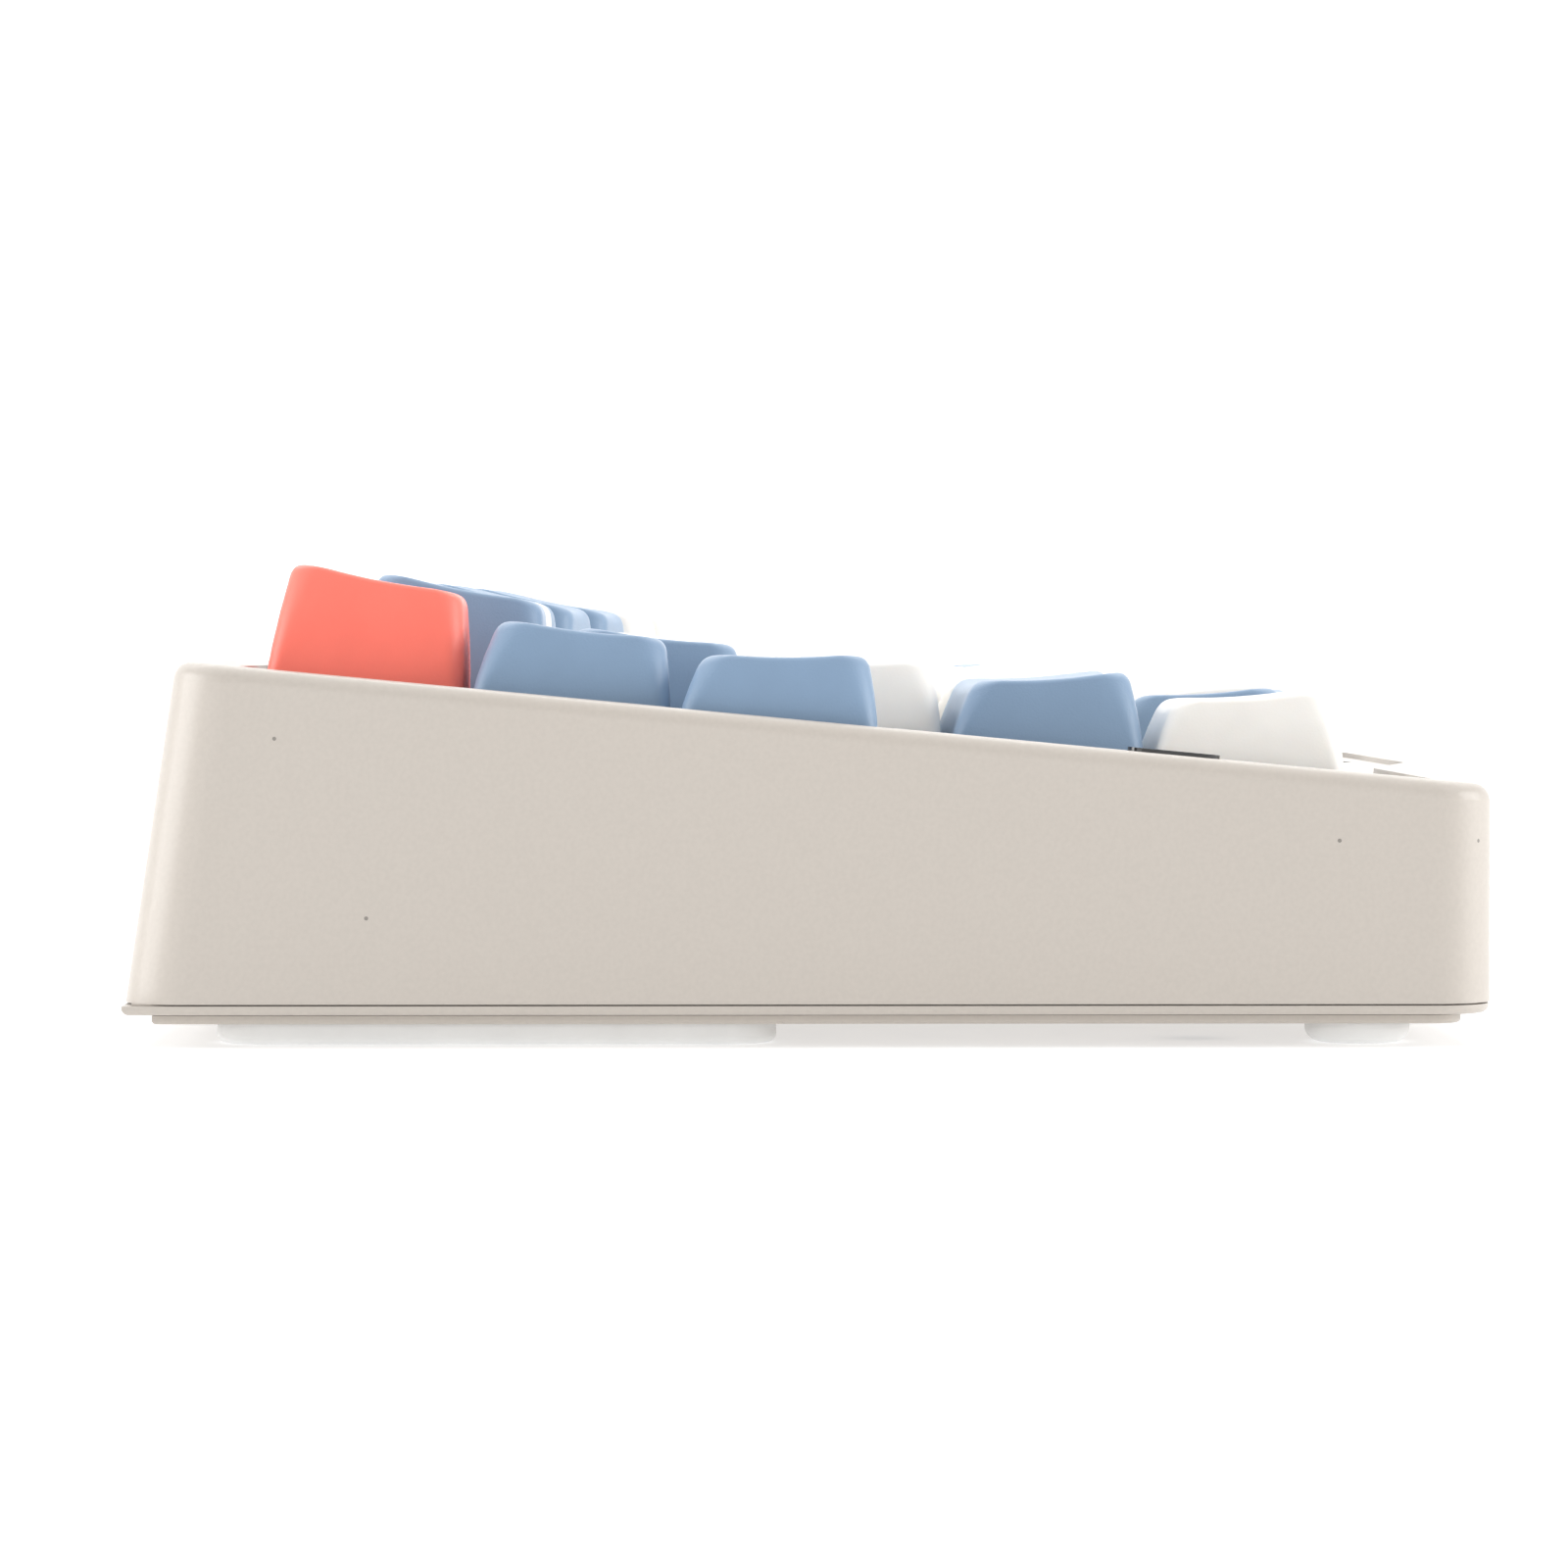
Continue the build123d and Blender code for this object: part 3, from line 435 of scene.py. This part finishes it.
# ---- keycaps ----
class CapShape:
    """The outer form of a keycap, in millimetres, z from the bottom of its skirt."""

    def __init__(self, width, depth, row, is_space):
        self.half_x = width / 2
        self.half_y = depth / 2
        self.rear_height, self.front_height, self.rear_draft, self.front_draft = PROFILES[row]
        self.is_space = is_space
        self.rear_top = self.half_y - self.rear_draft * self.rear_height
        self.front_top = self.front_draft * self.front_height - self.half_y
        self.steps_x = max(SIDE_STEPS, round(SIDE_STEPS * width / PITCH))

    def top(self, x, y):
        """Height of the top at that place."""
        share = (y - self.front_top) / (self.rear_top - self.front_top)
        height = self.front_height + share * (self.rear_height - self.front_height)
        middle = self.half_x - SIDE_DRAFT * height
        across = max(0.0, 1 - (x / middle) ** 2)
        along = max(0.0, 1 - (2 * share - 1) ** 2)
        if self.is_space:
            return height + DISH * along
        return height - DISH * (across + along)

    def ring(self, heights, inset=0.0):
        """Points round the keycap's sides, which bulge, one for each height given."""
        points = []
        peak = max(self.rear_height, self.front_height)
        for (side_x, side_y, turn, share), z in zip(self.stations(), heights):
            share_up = min(1.0, max(0.0, z / peak))
            lean = z * share_up ** BULGE
            half_x = self.half_x - SIDE_DRAFT * lean - inset
            rear = self.half_y - self.rear_draft * lean - inset
            front = self.half_y - self.front_draft * lean - inset
            middle = (rear - front) / 2
            half_y = (rear + front) / 2
            radius = BASE_CORNER + (TOP_CORNER - BASE_CORNER) * share_up
            radius = max(MIN_CORNER, radius - inset * CORNER_SHARE)
            if turn is not None:
                x = side_x * (half_x - radius) + radius * cos(turn)
                y = side_y * (half_y - radius) + radius * sin(turn)
            elif side_x:
                x = side_x * half_x
                y = share * (half_y - radius)
            else:
                x = share * (half_x - radius)
                y = side_y * half_y
            points.append((x, y + middle, z))
        return points

    def stations(self):
        """Every place round a ring: which side or corner it is on, and how far along."""
        found = []
        sides = [(1, 0, SIDE_STEPS), (0, 1, self.steps_x), (-1, 0, SIDE_STEPS),
                 (0, -1, self.steps_x)]
        corners = [(1, 1), (-1, 1), (-1, -1), (1, -1)]
        for quarter, ((side_x, side_y, steps), corner) in enumerate(zip(sides, corners)):
            direction = 1 if quarter in (0, 3) else -1
            for step in range(1, steps):
                found.append((side_x, side_y, None, direction * (2 * step / steps - 1)))
            for step in range(CORNER_STEPS + 1):
                turn = (quarter + step / CORNER_STEPS) * pi / 2
                found.append((*corner, turn, 0))
        return found

    def rounds(self):
        """How large the round under the top is at each place round a ring."""
        found = []
        for _, side_y, turn, _ in self.stations():
            endwise = abs(side_y) if turn is None else abs(sin(turn))
            found.append(SIDE_ROUND + (END_ROUND - SIDE_ROUND) * endwise)
        return found

    def top_heights(self):
        """The height at which each place round the sides would meet the top."""
        count = len(self.stations())
        middle = (self.rear_height + self.front_height) / 2
        heights = [middle] * count
        for _ in range(TOP_PASSES):
            heights = [self.top(x, y) for x, y, _ in self.ring(heights)]
        return heights


def add_ring(bm, points):
    return [bm.verts.new(point) for point in points]


def bridge(bm, lower, upper):
    for i in range(len(lower)):
        j = (i + 1) % len(lower)
        bm.faces.new((lower[i], lower[j], upper[j], upper[i]))


def close(bm, ring, point):
    tip = bm.verts.new(point)
    for i in range(len(ring)):
        bm.faces.new((ring[i], ring[(i + 1) % len(ring)], tip))


def between(a, b, share):
    return tuple(p + (q - p) * share for p, q in zip(a, b))


def add_post(bm, x, top):
    """The round post that a stem is pressed into, from its foot up into the roof."""
    turns = [2 * pi * step / POST_STEPS for step in range(POST_STEPS)]
    foot, head = [add_ring(bm, [(x + POST_RADIUS * cos(turn), POST_RADIUS * sin(turn), z)
                                for turn in turns]) for z in (POST_FOOT, top)]
    bridge(bm, foot, head)
    close(bm, head, (x, 0, top))
    close(bm, foot[::-1], (x, 0, POST_FOOT))


def inner_edge(shape, corner_ring, rounds, centre_y):
    """Where the round under the top meets the top, as points on the top."""
    spine = max(0.0, shape.half_x - shape.half_y)
    points = []
    for (x, y, _), size in zip(corner_ring, rounds):
        toward = Vector((max(-spine, min(spine, x)) - x, centre_y - y))
        step = toward.normalized() * size
        points.append((x + step.x, y + step.y, shape.top(x + step.x, y + step.y)))
    return points


def add_outside(bm, shape, tops, centre_y):
    """The skirt's foot, the sides, the round and the dished top. Gives back the lowest ring."""
    count = len(tops)
    inset, foot_height = FOOT_ROUND
    rings = [add_ring(bm, shape.ring([0.0] * count, inset=inset)),
             add_ring(bm, shape.ring([foot_height] * count))]
    rounds = shape.rounds()
    shoulders = [1 - size / top for size, top in zip(rounds, tops)]
    for share in SIDE_SHARES:
        heights = [top * shoulder * share for top, shoulder in zip(tops, shoulders)]
        rings.append(add_ring(bm, shape.ring(heights)))
    below = shape.ring([top * shoulder for top, shoulder in zip(tops, shoulders)])
    corner_ring = shape.ring(tops)
    inner = inner_edge(shape, corner_ring, rounds, centre_y)
    for share in ROUND_SHARES:
        points = [between(between(a, b, share), between(b, c, share), share)
                  for a, b, c in zip(below, corner_ring, inner)]
        rings.append(add_ring(bm, points))
    for share in TOP_SHARES:
        points = []
        for x, y, _ in inner:
            px, py = x * (1 - share), y + (centre_y - y) * share
            points.append((px, py, shape.top(px, py)))
        rings.append(add_ring(bm, points))
    for lower, upper in zip(rings, rings[1:]):
        bridge(bm, lower, upper)
    close(bm, rings[-1], (0, centre_y, shape.top(0, centre_y)))
    return rings[0]


def add_inside(bm, shape, tops, centre_y, foot):
    """The hollow under the top, joined to the lowest ring of the outside, and its posts."""
    rings = [add_ring(bm, shape.ring([0.0] * len(tops), inset=CAP_WALL))]
    roof = [top - CAP_ROOF for top in tops]
    for share in ROOF_SHARES:
        rings.append(add_ring(bm, shape.ring([z * share for z in roof], inset=CAP_WALL)))
    bridge(bm, rings[0], foot)
    for lower, upper in zip(rings, rings[1:]):
        bridge(bm, upper, lower)
    roof_middle = shape.top(0, centre_y) - CAP_ROOF
    close(bm, rings[-1][::-1], (0, centre_y, roof_middle))
    is_wide = 2 * shape.half_x > WIDE_CAP
    for x in (-WIDE_POST_OFFSET, 0, WIDE_POST_OFFSET) if is_wide else (0,):
        add_post(bm, x, roof_middle + CAP_ROOF / 2)


def cap_mesh(shape, name):
    """A keycap: dished top, rounded edges, thin skirt and a hollow inside with its posts."""
    bm = bmesh.new()
    tops = shape.top_heights()
    centre_y = (shape.rear_top + shape.front_top) / 2
    foot = add_outside(bm, shape, tops, centre_y)
    add_inside(bm, shape, tops, centre_y, foot)
    bmesh.ops.scale(bm, vec=(MM, MM, MM), verts=bm.verts)
    return mesh_from(bm, name)


# ---- marks on the keycaps: plain signs, in units of SIGN_HEIGHT, and single characters ----
BOLD = 0.16                         # width of a stroke
STRIP_END = 0.4                     # how far a strip runs past its points, in widths


def stroke(*points, width=BOLD):
    """Strips along a line of points, each strip a quadrilateral."""
    strips = []
    for (ax, ay), (bx, by) in zip(points, points[1:]):
        angle = atan2(by - ay, bx - ax)
        ox, oy = -sin(angle) * width / 2, cos(angle) * width / 2
        ex, ey = cos(angle) * width * STRIP_END, sin(angle) * width * STRIP_END
        strips.append([(ax - ex + ox, ay - ey + oy), (ax - ex - ox, ay - ey - oy),
                       (bx + ex - ox, by + ey - oy), (bx + ex + ox, by + ey + oy)])
    return strips


def disc(x, y, radius, steps=20):
    return [[(x + radius * cos(2 * pi * i / steps), y + radius * sin(2 * pi * i / steps))
             for i in range(steps)]]


def ring_sign(radius=0.42, steps=28):
    points = [(radius * cos(2 * pi * i / steps), radius * sin(2 * pi * i / steps))
              for i in range(steps + 1)]
    return stroke(*points)


def turned(shapes, quarter):
    c, s = cos(quarter * pi / 2), sin(quarter * pi / 2)
    return [[(x * c - y * s, x * s + y * c) for x, y in points] for points in shapes]


ARROW = stroke((-0.5, 0), (0.42, 0)) + stroke((0.1, 0.36), (0.46, 0), (0.1, -0.36))
CHEVRONS = (stroke((-0.36, -0.36), (0, 0), (0.36, -0.36))
            + stroke((-0.36, 0.02), (0, 0.38), (0.36, 0.02)))
SIGNS = {
    "ring": ring_sign(),
    "dash": stroke((-0.3, 0), (0.3, 0)),
    "right": ARROW, "up": turned(ARROW, 1), "left": turned(ARROW, 2), "down": turned(ARROW, 3),
    "chevron_up": CHEVRONS, "chevron_down": turned(CHEVRONS, 2),
    "tab": ARROW + stroke((0.72, 0.4), (0.72, -0.4)),
    "enter": turned(ARROW, 2) + stroke((0.5, 0), (0.5, 0.45)),
    "slant": stroke((-0.25, 0.42), (0.25, -0.42)),
    "caps": turned(ARROW, 1) + stroke((-0.4, -0.75), (0.4, -0.75)),
    "shift": turned(stroke((-1.1, 0), (0.4, 0), width=0.34) + stroke((0.9, 0), (1.2, 0), width=0.6),
                    3),
    "bars": turned(stroke((-0.9, 0), (0.1, 0), width=0.2) + stroke((0.5, 0), (0.9, 0), width=0.2),
                   1),
    "square": stroke((-0.36, -0.36), (0.36, -0.36), (0.36, 0.36), (-0.36, 0.36), (-0.36, -0.36)),
    "dots": disc(-0.45, 0, 0.13) + disc(0, 0, 0.13) + disc(0.45, 0, 0.13),
}
SIGN_HEIGHT = 3.1                   # millimetres
LEFT_SET = ("shift", "bars", "tab", "caps", "enter", "chevron_up", "chevron_down", "ring")
LEFT_SET_MARGIN = 4.2               # from the left of the keycap's top to the middle of its mark
LETTER_HEIGHT = 4.6
LETTER_MIDDLE = LETTER_HEIGHT * 0.35    # half of a capital's height
CENTRED_MARKS = "-=[]/"             # characters that stand at their own middle height
WELD = 1e-3                         # points of a character nearer than this are one
INK_LIFT = 0.03                     # the ink's upper face over the keycap's top
INK_DEPTH = 0.06
CUT_STEP = 0.7                      # an inlay is cut this fine, so that it follows the dish
FIRST_CUT = 0.293                   # an odd place, so that no cut runs along a sign's edge


def sign_flat(mark):
    """The mark as flat faces, in millimetres, about its own middle."""
    bm = bmesh.new()
    if mark in SIGNS:
        for points in SIGNS[mark]:
            bm.faces.new([bm.verts.new((x * SIGN_HEIGHT, y * SIGN_HEIGHT, 0)) for x, y in points])
        return bm
    curve = bpy.data.curves.new("mark", "FONT")
    curve.body = mark
    curve.size = LETTER_HEIGHT
    curve.resolution_u = 4
    source = bpy.data.objects.new("mark", curve)
    mesh = bpy.data.meshes.new_from_object(source)
    bm.from_mesh(mesh)
    bpy.data.objects.remove(source)
    bpy.data.curves.remove(curve)
    bpy.data.meshes.remove(mesh)
    xs = [v.co.x for v in bm.verts]
    ys = [v.co.y for v in bm.verts]
    middle_y = (max(ys) + min(ys)) / 2 if mark in CENTRED_MARKS else LETTER_MIDDLE
    shift = Vector((-(max(xs) + min(xs)) / 2, -middle_y, 0))
    bmesh.ops.translate(bm, vec=shift, verts=bm.verts)
    return bm


def cut_finely(bm):
    """Cuts the flat faces along both axes, a step at a time."""
    for axis in (0, 1):
        values = [v.co[axis] for v in bm.verts]
        place = min(values) + FIRST_CUT
        normal = Vector((1 - axis, axis, 0))
        while place < max(values):
            geometry = bm.verts[:] + bm.edges[:] + bm.faces[:]
            bmesh.ops.bisect_plane(bm, geom=geometry, plane_co=normal * place, plane_no=normal)
            place += CUT_STEP


def lay_on_top(bm, mark, shape):
    """Moves the flat mark to its place on the keycap, just under the dished top."""
    centre_y = (shape.rear_top + shape.front_top) / 2
    left_top = SIDE_DRAFT * shape.rear_height - shape.half_x
    for vert in bm.verts:
        vert.co.y += centre_y
        if mark in LEFT_SET:
            vert.co.x += left_top + LEFT_SET_MARGIN
        vert.co.z = shape.top(vert.co.x, vert.co.y) + INK_LIFT - INK_DEPTH


def mark_mesh(mark, shape, name):
    """The mark as a thin inlay that follows the keycap's dished top."""
    bm = sign_flat(mark)
    is_letter = mark not in SIGNS
    if is_letter:
        bmesh.ops.remove_doubles(bm, verts=bm.verts, dist=WELD)
    cut_finely(bm)
    if is_letter:
        bmesh.ops.remove_doubles(bm, verts=bm.verts, dist=WELD)
    lay_on_top(bm, mark, shape)
    made = bmesh.ops.extrude_face_region(bm, geom=bm.faces[:])
    raised = [g for g in made["geom"] if isinstance(g, bmesh.types.BMVert)]
    bmesh.ops.translate(bm, vec=(0, 0, INK_DEPTH), verts=raised)
    bmesh.ops.scale(bm, vec=(MM, MM, MM), verts=bm.verts)
    return mesh_from(bm, name, smooth=False)


def place_piece(name, mesh, node, matrix=None):
    """The mesh as an object that moves with the node's body."""
    piece = add_object(name, mesh)
    if matrix is not None:
        piece.matrix_world = matrix
    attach(piece, BODY_OF[node])
    return piece


def stems_mesh(solids, name):
    """Every solid of a key node but its keycaps, as one mesh."""
    stems = bmesh.new()
    for solid in solids:
        if not is_cap(solid):
            part = bpy.data.meshes.new("part")
            solid.to_mesh(part)
            stems.from_mesh(part)
            bpy.data.meshes.remove(part)
    mesh = mesh_from(stems, name, smooth=False)
    mesh.materials.append(materials["switch"])
    return mesh


cap_meshes = {}


def shared_cap_mesh(shape, row, color, name):
    """The keycap's mesh, made once for each size, row and colour."""
    key = (round(2 * shape.half_x, 1), row, shape.is_space, color)
    if key not in cap_meshes:
        cap_meshes[key] = cap_mesh(shape, f"cap_{name}")
        cap_meshes[key].materials.append(materials[f"cap_{color}"])
    return cap_meshes[key].copy()


def build_keys():
    """Every keycap with its mark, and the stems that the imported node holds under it."""
    for node, row, color, marks in KEYS:
        solids = solids_of(node)
        short = node.replace("key_", "").replace("keys_", "")
        stems_name = f"stems_{short}"
        place_piece(stems_name, stems_mesh(solids, stems_name), node)
        caps = sorted(filter(is_cap, solids), key=left_edge)
        for index, (solid, mark) in enumerate(zip(caps, marks)):
            name = short if len(marks) == 1 else f"{short}_{index + 1}"
            place = CapPlace(solid)
            shape = CapShape(place.width / MM, place.depth / MM, row, is_space=mark is None)
            mesh = shared_cap_mesh(shape, row, color, name)
            cap = place_piece(f"cap_{name}", mesh, node, place.matrix)
            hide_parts(node)
            if mark:
                ink = mark_mesh(mark, shape, f"mark_{name}")
                ink.materials.append(DARK_INK if color == "white" else LIGHT_INK)
                place_piece(f"mark_{name}", ink, node, place.matrix)
        for solid in solids:
            solid.free()


build_keys()


# ---- floor, light and camera ----
STAGE_GLOW = 0.5                    # the stage's own light, so that it shows as plain white
BEND_STEPS = 12                     # of the curve from the floor up into the wall


def pale_stage():
    """A floor that curves up into a wall behind the object's far side."""
    floor_material = moulded_plastic("stage_paper", (0.62, 0.62, 0.62), 0.8)
    floor_shader = floor_material.node_tree.nodes["Principled BSDF"]
    floor_shader.inputs["Emission Color"].default_value = (1.0, 1.0, 1.0, 1.0)
    floor_shader.inputs["Emission Strength"].default_value = STAGE_GLOW
    front, wall, bend, height, half = -2.5, 2.2, 0.8, 2.6, 3.5
    outline = [(front, 0.0), (wall - bend, 0.0)]
    for step in range(1, BEND_STEPS + 1):
        turn = step / BEND_STEPS * pi / 2
        outline.append((wall - bend + bend * sin(turn), bend - bend * cos(turn)))
    outline.append((wall, height))
    bm = bmesh.new()
    near = [bm.verts.new((x, -half, z)) for x, z in outline]
    far = [bm.verts.new((x, half, z)) for x, z in outline]
    for i in range(len(outline) - 1):
        bm.faces.new((near[i], near[i + 1], far[i + 1], far[i]))
    stage = add_object("stage_paper", mesh_from(bm, "stage_paper"))
    stage.data.materials.append(floor_material)


# Each light: name, place, what it points at, size, and power in watts.
LIGHTS = [
    ("overhead", (0.1, 0.0, 1.3), (0, 0, 0), (2.2, 1.6), 12),
    ("rear_side", (-0.25, 1.1, 0.4), (0, 0, 0.02), (0.9, 0.7), 10),
    ("front_side", (-0.25, -1.1, 0.4), (0, 0, 0.02), (0.9, 0.7), 10),
    ("low_front", (-1.3, 0.0, 0.17), (-0.19, 0, 0.0), (1.8, 0.3), 2.5),
    ("backdrop", (1.2, 0.0, 1.6), (2.0, 0, 0.4), (2.5, 1.0), 45),
]
WORLD_STRENGTH = 0.4


def soft_box(name, place, target, size, power):
    """A rectangular light that faces its target."""
    data = bpy.data.lights.new(name, "AREA")
    data.shape = "RECTANGLE"
    data.size, data.size_y = size
    data.energy = power
    light = bpy.data.objects.new(name, data)
    bpy.context.scene.collection.objects.link(light)
    light.location = place
    light.rotation_euler = (Vector(target) - Vector(place)).to_track_quat("-Z", "Y").to_euler()


def studio():
    """The world's light, the view transform and every lamp."""
    world = bpy.data.worlds.new("studio")
    world.use_nodes = True
    background = world.node_tree.nodes["Background"]
    background.inputs["Color"].default_value = (1.0, 0.99, 0.98, 1)
    background.inputs["Strength"].default_value = WORLD_STRENGTH
    bpy.context.scene.world = world
    bpy.context.scene.view_settings.view_transform = "Standard"
    for light in LIGHTS:
        soft_box(*light)


CAMERA_DISTANCE = 0.52              # from the side of the case that faces it
CAMERA_Y = 0.0165
CAMERA_HEIGHT = 0.036
FOCAL_LENGTH = 132.8
AIM_Y = 0.01005
AIM_Z = 0.0238


def camera():
    """Looks at the left side of the case, as in the photo."""
    data = bpy.data.cameras.new("camera")
    data.lens = FOCAL_LENGTH
    data.sensor_width = 36.0
    data.clip_start = 0.01
    obj = bpy.data.objects.new("camera", data)
    bpy.context.scene.collection.objects.link(obj)
    side = cad_low[0]
    obj.location = (side - CAMERA_DISTANCE, CAMERA_Y, CAMERA_HEIGHT)
    aim = Vector((side, AIM_Y, AIM_Z))
    obj.rotation_euler = (aim - obj.location).to_track_quat("-Z", "Y").to_euler()
    bpy.context.scene.camera = obj


pale_stage()
studio()
camera()
